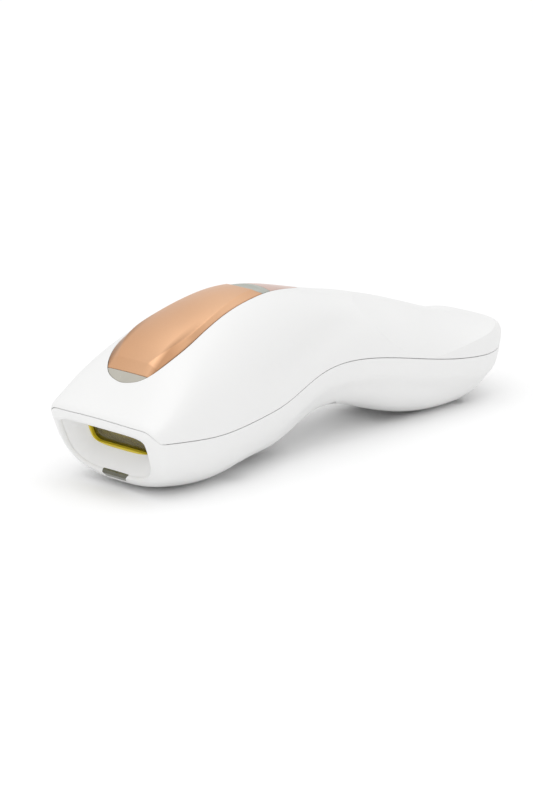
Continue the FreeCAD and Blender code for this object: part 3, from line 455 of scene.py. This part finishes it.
class HAIRREMOVER_OT_plate(bpy.types.Operator):
    """Finish the plate: lens, large button, silvery dip, rear button, bed and pin"""

    bl_idname = "hairremover.plate"
    bl_label = "Plate"

    def execute(self, context):
        settings = context.scene.hairremover_plate
        gold = metallic_lacquer(
            "rose gold lacquer", settings.gold, settings.gold_deep, 0.34, edge=settings.crease,
            shaded_flank=SHADE_FLANK_BESIDE)
        dress("treatment_button", gold)
        dress("button_saddle", metallic_lacquer(
            "silver lacquer", settings.dip, shade(settings.dip, 0.8), 0.3, 0.6))
        dress("mode_button", metallic_lacquer(
            "pink gold lacquer", settings.tail, shade(settings.tail, 0.85), 0.3, 0.7))
        lens = Finish("lens", Specular_IOR_Level=0.5, Coat_Weight=0.6, Coat_Roughness=0.05)
        lens.colour(lens.spread(lens.noise(160.0), 0.0, 1.0), shade(settings.lens, 0.92), settings.lens)
        lens.rough(lens.noise(900.0), 0.18, 0.28)
        dress("status_lens", lens.material)
        dress("button_tray", moulded("tray plastic", (0.70, 0.70, 0.69), 0.5))
        dress("pivot_pin", turned_metal("pin steel", (0.60, 0.60, 0.61), 0.25, "Y"))
        low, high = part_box("mode_spring")
        middle = (low + high) / 2
        foot, tall = (high.x - low.x) / 2, high.z - low.z
        outline = (
            (foot * 0.83, 0.0), (foot, 0.0), (foot, tall * 0.08), (foot * 0.93, tall * 0.16),
            (foot * 0.84, tall * 0.55), (foot * 0.79, tall), (foot * 0.64, tall), (foot * 0.66, tall * 0.6),
            (foot * 0.78, tall * 0.2))
        spring = new_piece(
            "return_spring", turned_shape(outline, (middle.x, middle.y, low.z)),
            moulded("spring silicone", (0.60, 0.60, 0.58), 0.55))
        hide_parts("mode_spring")
        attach(spring, HOUSING)
        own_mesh(spring)
        switch = moulded("switch plastic", (0.03, 0.03, 0.035), 0.45)
        plunger = moulded("plunger plastic", (0.62, 0.58, 0.50), 0.4)
        board = circuit_board("switch board", (0.01, 0.12, 0.05), (0.02, 0.2, 0.08), (0.8, 0.62, 0.3))
        for side in ("front", "mode"):
            dress(side + "_switch", switch)
            dress(side + "_plunger", plunger)
            dress(side + "_switch_board", board)
        dress("status_board", board)
        dress("light_guide", clear_glass("light guide", (0.95, 0.95, 0.94), 0.05, 0.8, 1.49))
        return {"FINISHED"}


class HAIRREMOVER_OT_window(bpy.types.Operator):
    """Finish the filter glass, the frames round it and the skin sensor's window"""

    bl_idname = "hairremover.window"
    bl_label = "Window"

    def execute(self, context):
        settings = context.scene.hairremover_window
        dress("filter_glass", clear_glass("yellow filter glass", settings.yellow, 0.02, 0.9, 1.5))
        rim = Finish("window rim", Subsurface_Weight=0.3, Subsurface_Radius=(0.002, 0.0015, 0.0002))
        rim.colour(rim.spread(rim.noise(120.0), 0.0, 1.0), shade(settings.rim, 0.9), settings.rim)
        rim.rough(rim.noise(600.0), 0.3, 0.4)
        dress("nose_insert", rim.material)
        dress("glass_gasket", moulded("gasket rubber", (0.02, 0.02, 0.02), 0.75, 0.00002))
        sensor = Finish("sensor window", Specular_IOR_Level=0.6, Coat_Weight=0.8, Coat_Roughness=0.06)
        sensor.colour(
            sensor.spread(sensor.noise(260.0), 0.0, 1.0), shade(settings.sensor, 0.75), settings.sensor)
        sensor.rough(sensor.noise(1200.0), 0.12, 0.2)
        dress("skin_sensor_window", sensor.material)
        dress("sensor_board", circuit_board(
            "sensor board", (0.01, 0.12, 0.05), (0.02, 0.2, 0.08), (0.8, 0.62, 0.3)))
        return {"FINISHED"}


class HAIRREMOVER_OT_lamp(bpy.types.Operator):
    """Finish the lamp, its trough and frame, and wind its trigger wire"""

    bl_idname = "hairremover.lamp"
    bl_label = "Flash lamp"

    def execute(self, context):
        settings = context.scene.hairremover_lamp
        dress("lamp_tube", clear_glass("quartz tube", (0.96, 0.97, 0.98), 0.01, 1.0, 1.46))
        ceramic = moulded("ceramic", (0.78, 0.76, 0.70), 0.6, 0.00002)
        for name in ("lamp_caps", "lamp_holders"):
            dress(name, ceramic)
        bright = turned_metal("polished aluminium", (0.86, 0.86, 0.87), 0.12, "Y")
        for name in ("reflector", "reflector_cheeks"):
            dress(name, bright)
        dress("lamp_carrier", moulded("carrier plastic", (0.05, 0.05, 0.05), 0.5))
        low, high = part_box("lamp_tube")
        middle = (low + high) / 2
        radius = (high.x - low.x) / 2 + settings.wire
        length = (high.y - low.y) * WOUND_SHARE
        steps = settings.turns * STEPS_A_TURN
        wire = bmesh.new()
        ring = bmesh.ops.create_circle(wire, segments=WIRE_SIDES, radius=settings.wire)["verts"]
        start = Matrix.Translation(middle + Vector((radius, -length / 2, 0))) @ Matrix.Rotation(
            math.atan2(length, 2 * math.pi * radius * settings.turns), 4, "X")
        bmesh.ops.transform(wire, matrix=start, verts=ring)
        bmesh.ops.spin(
            wire, geom=wire.verts[:] + wire.edges[:], cent=middle, axis=(0, 1, 0),
            dvec=(0, length / steps, 0), angle=-2 * math.pi * settings.turns, steps=steps, use_merge=False)
        bmesh.ops.holes_fill(wire, edges=[edge for edge in wire.edges if edge.is_boundary])
        nickel = turned_metal("nickel wire", (0.66, 0.63, 0.58), 0.25)
        piece = new_piece("trigger_wire", wire, nickel)
        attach(piece, HOUSING)
        return {"FINISHED"}


class HAIRREMOVER_OT_cooling(bpy.types.Operator):
    """Finish the cooler, the fan and the duct"""

    bl_idname = "hairremover.cooling"
    bl_label = "Cooling"

    def execute(self, context):
        dress("heat_sink", turned_metal("extruded aluminium", (0.62, 0.63, 0.64), 0.38))
        dress("fan_shaft", turned_metal("shaft steel", (0.60, 0.60, 0.61), 0.25))
        dress("fan_housing", moulded("fan frame plastic", (0.04, 0.04, 0.042), 0.5))
        dress("fan_rotor", moulded("fan blade plastic", (0.055, 0.055, 0.06), 0.4))
        dress("air_duct", moulded("duct plastic", (0.09, 0.09, 0.09), 0.6))
        return {"FINISHED"}


class HAIRREMOVER_OT_electronics(bpy.types.Operator):
    """Finish the boards, the flash capacitor and the parts round them"""

    bl_idname = "hairremover.electronics"
    bl_label = "Electronics"

    def execute(self, context):
        board = circuit_board("main board", (0.01, 0.12, 0.05), (0.02, 0.22, 0.09), (0.8, 0.62, 0.3))
        for name in ("power_board", "main_board", "socket_board"):
            dress(name, board)
        dress("board_parts", moulded("chip resin", (0.025, 0.025, 0.028), 0.55))
        dress("trigger_transformer", wound_coil("transformer tape", (0.80, 0.55, 0.10), 90.0))
        dress("filter_choke", wound_coil("copper winding", (0.72, 0.32, 0.14), 420.0))
        sleeve = Finish("capacitor sleeve", Coat_Weight=0.5, Coat_Roughness=0.1)
        sleeve.colour(sleeve.spread(sleeve.noise(90.0), 0.0, 1.0), (0.016, 0.022, 0.05), (0.03, 0.04, 0.08))
        sleeve.rough(sleeve.noise(700.0), 0.25, 0.4)
        sleeve.bump(sleeve.noise(260.0, 2.0, 0.5, (0.2, 1.0, 1.0)), 0.00006, 0.5)
        dress("flash_capacitor", sleeve.material)
        dress("capacitor_clamps", moulded("clamp plastic", (0.70, 0.70, 0.69), 0.5))
        return {"FINISHED"}


class HAIRREMOVER_OT_inlet(bpy.types.Operator):
    """Finish the power inlet and the screws"""

    bl_idname = "hairremover.inlet"
    bl_label = "Inlet and screws"

    def execute(self, context):
        dress("power_socket", moulded("inlet plastic", (0.03, 0.03, 0.032), 0.42))
        dress("socket_pin", turned_metal("pin brass", (0.80, 0.62, 0.30), 0.2))
        dress("shell_screws", turned_metal("screw steel", (0.52, 0.52, 0.54), 0.32, "Z"))
        return {"FINISHED"}


class HAIRREMOVER_OT_stage(bpy.types.Operator):
    """Lay the floor and place the lights and the camera"""

    bl_idname = "hairremover.stage"
    bl_label = "Stage"

    def execute(self, context):
        settings = context.scene.hairremover_studio
        scene = context.scene
        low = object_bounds()[0]
        floor = bmesh.new()
        bmesh.ops.create_grid(floor, x_segments=1, y_segments=1, size=FLOOR_HALF)
        bmesh.ops.translate(floor, vec=(0, 0, low[2] - FLOOR_DROP), verts=floor.verts)
        mesh = bpy.data.meshes.new("floor")
        floor.to_mesh(mesh)
        floor.free()
        ground = bpy.data.objects.new("floor", mesh)
        scene.collection.objects.link(ground)
        paper = Finish("studio paper", Roughness=0.9, Specular_IOR_Level=0.1)
        paper.colour(paper.noise(40.0, 4.0), (0.94, 0.94, 0.94), (0.95, 0.95, 0.95))
        mesh.materials.append(paper.material)
        ground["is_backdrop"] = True

        def soft_light(name, place, size, power, aim):
            data = bpy.data.lights.new(name, "AREA")
            data.shape = "RECTANGLE"
            data.size, data.size_y = size
            data.energy = power
            lamp = bpy.data.objects.new(name, data)
            lamp.location = place
            lamp.rotation_euler = (Vector(aim) - Vector(place)).to_track_quat("-Z", "Y").to_euler()
            scene.collection.objects.link(lamp)

        sky = bpy.data.lights.new("overhead", "SUN")
        sky.energy = settings.key
        sky.angle = SUN_SPREAD
        overhead = bpy.data.objects.new("overhead", sky)
        overhead.rotation_euler = Vector(SUN_DIRECTION).to_track_quat("-Z", "Y").to_euler()
        scene.collection.objects.link(overhead)
        soft_light("side", SIDE_PLACE, SIDE_SIZE, settings.fill, SIDE_AIM)

        world = bpy.data.worlds.new("studio room")
        scene.world = world
        world.use_nodes = True
        backdrop = world.node_tree.nodes["Background"]
        backdrop.inputs["Color"].default_value = (1.0, 1.0, 1.0, 1.0)
        backdrop.inputs["Strength"].default_value = settings.room

        target = Vector(CAMERA_AIM)
        away = Vector((
            math.sin(settings.azimuth) * math.cos(settings.elevation),
            -math.cos(settings.azimuth) * math.cos(settings.elevation), math.sin(settings.elevation)))
        data = bpy.data.cameras.new("camera")
        data.lens = settings.focal
        data.sensor_width = 36.0
        data.clip_start = 0.01
        camera = bpy.data.objects.new("camera", data)
        camera.location = target + away * settings.distance
        camera.rotation_euler = (-away).to_track_quat("-Z", "Y").to_euler()
        scene.collection.objects.link(camera)
        scene.camera = camera
        scene.view_settings.view_transform = "Standard"
        return {"FINISHED"}


OPERATORS = (
    HAIRREMOVER_OT_housing, HAIRREMOVER_OT_plate, HAIRREMOVER_OT_window, HAIRREMOVER_OT_lamp,
    HAIRREMOVER_OT_cooling, HAIRREMOVER_OT_electronics, HAIRREMOVER_OT_inlet, HAIRREMOVER_OT_stage,
)
SETTINGS = {
    "hairremover_housing": HousingSettings, "hairremover_plate": PlateSettings,
    "hairremover_window": WindowSettings, "hairremover_lamp": LampSettings,
    "hairremover_studio": StudioSettings,
}


class HAIRREMOVER_PT_panel(bpy.types.Panel):
    """Sidebar panel with every operator and setting"""

    bl_idname = "HAIRREMOVER_PT_panel"
    bl_label = "Hair Remover"
    bl_space_type = "VIEW_3D"
    bl_region_type = "UI"
    bl_category = "Hair Remover"

    def draw(self, context):
        for operator in OPERATORS:
            self.layout.operator(operator.bl_idname)
        for key, group in SETTINGS.items():
            box = self.layout.box()
            for name in group.__annotations__:
                box.prop(getattr(context.scene, key), name)


def register():
    """Register the classes and attach the settings to the scene."""
    for item in (*SETTINGS.values(), *OPERATORS, HAIRREMOVER_PT_panel):
        bpy.utils.register_class(item)
    for key, group in SETTINGS.items():
        setattr(bpy.types.Scene, key, PointerProperty(type=group))


def unregister():
    """Take the settings and the classes away again."""
    for key in SETTINGS:
        delattr(bpy.types.Scene, key)
    for item in reversed((*SETTINGS.values(), *OPERATORS, HAIRREMOVER_PT_panel)):
        bpy.utils.unregister_class(item)


def main():
    """Build everything in order."""
    register()
    for operator in OPERATORS:
        group, name = operator.bl_idname.split(".")
        getattr(getattr(bpy.ops, group), name)()


if __name__ == "__main__":
    main()
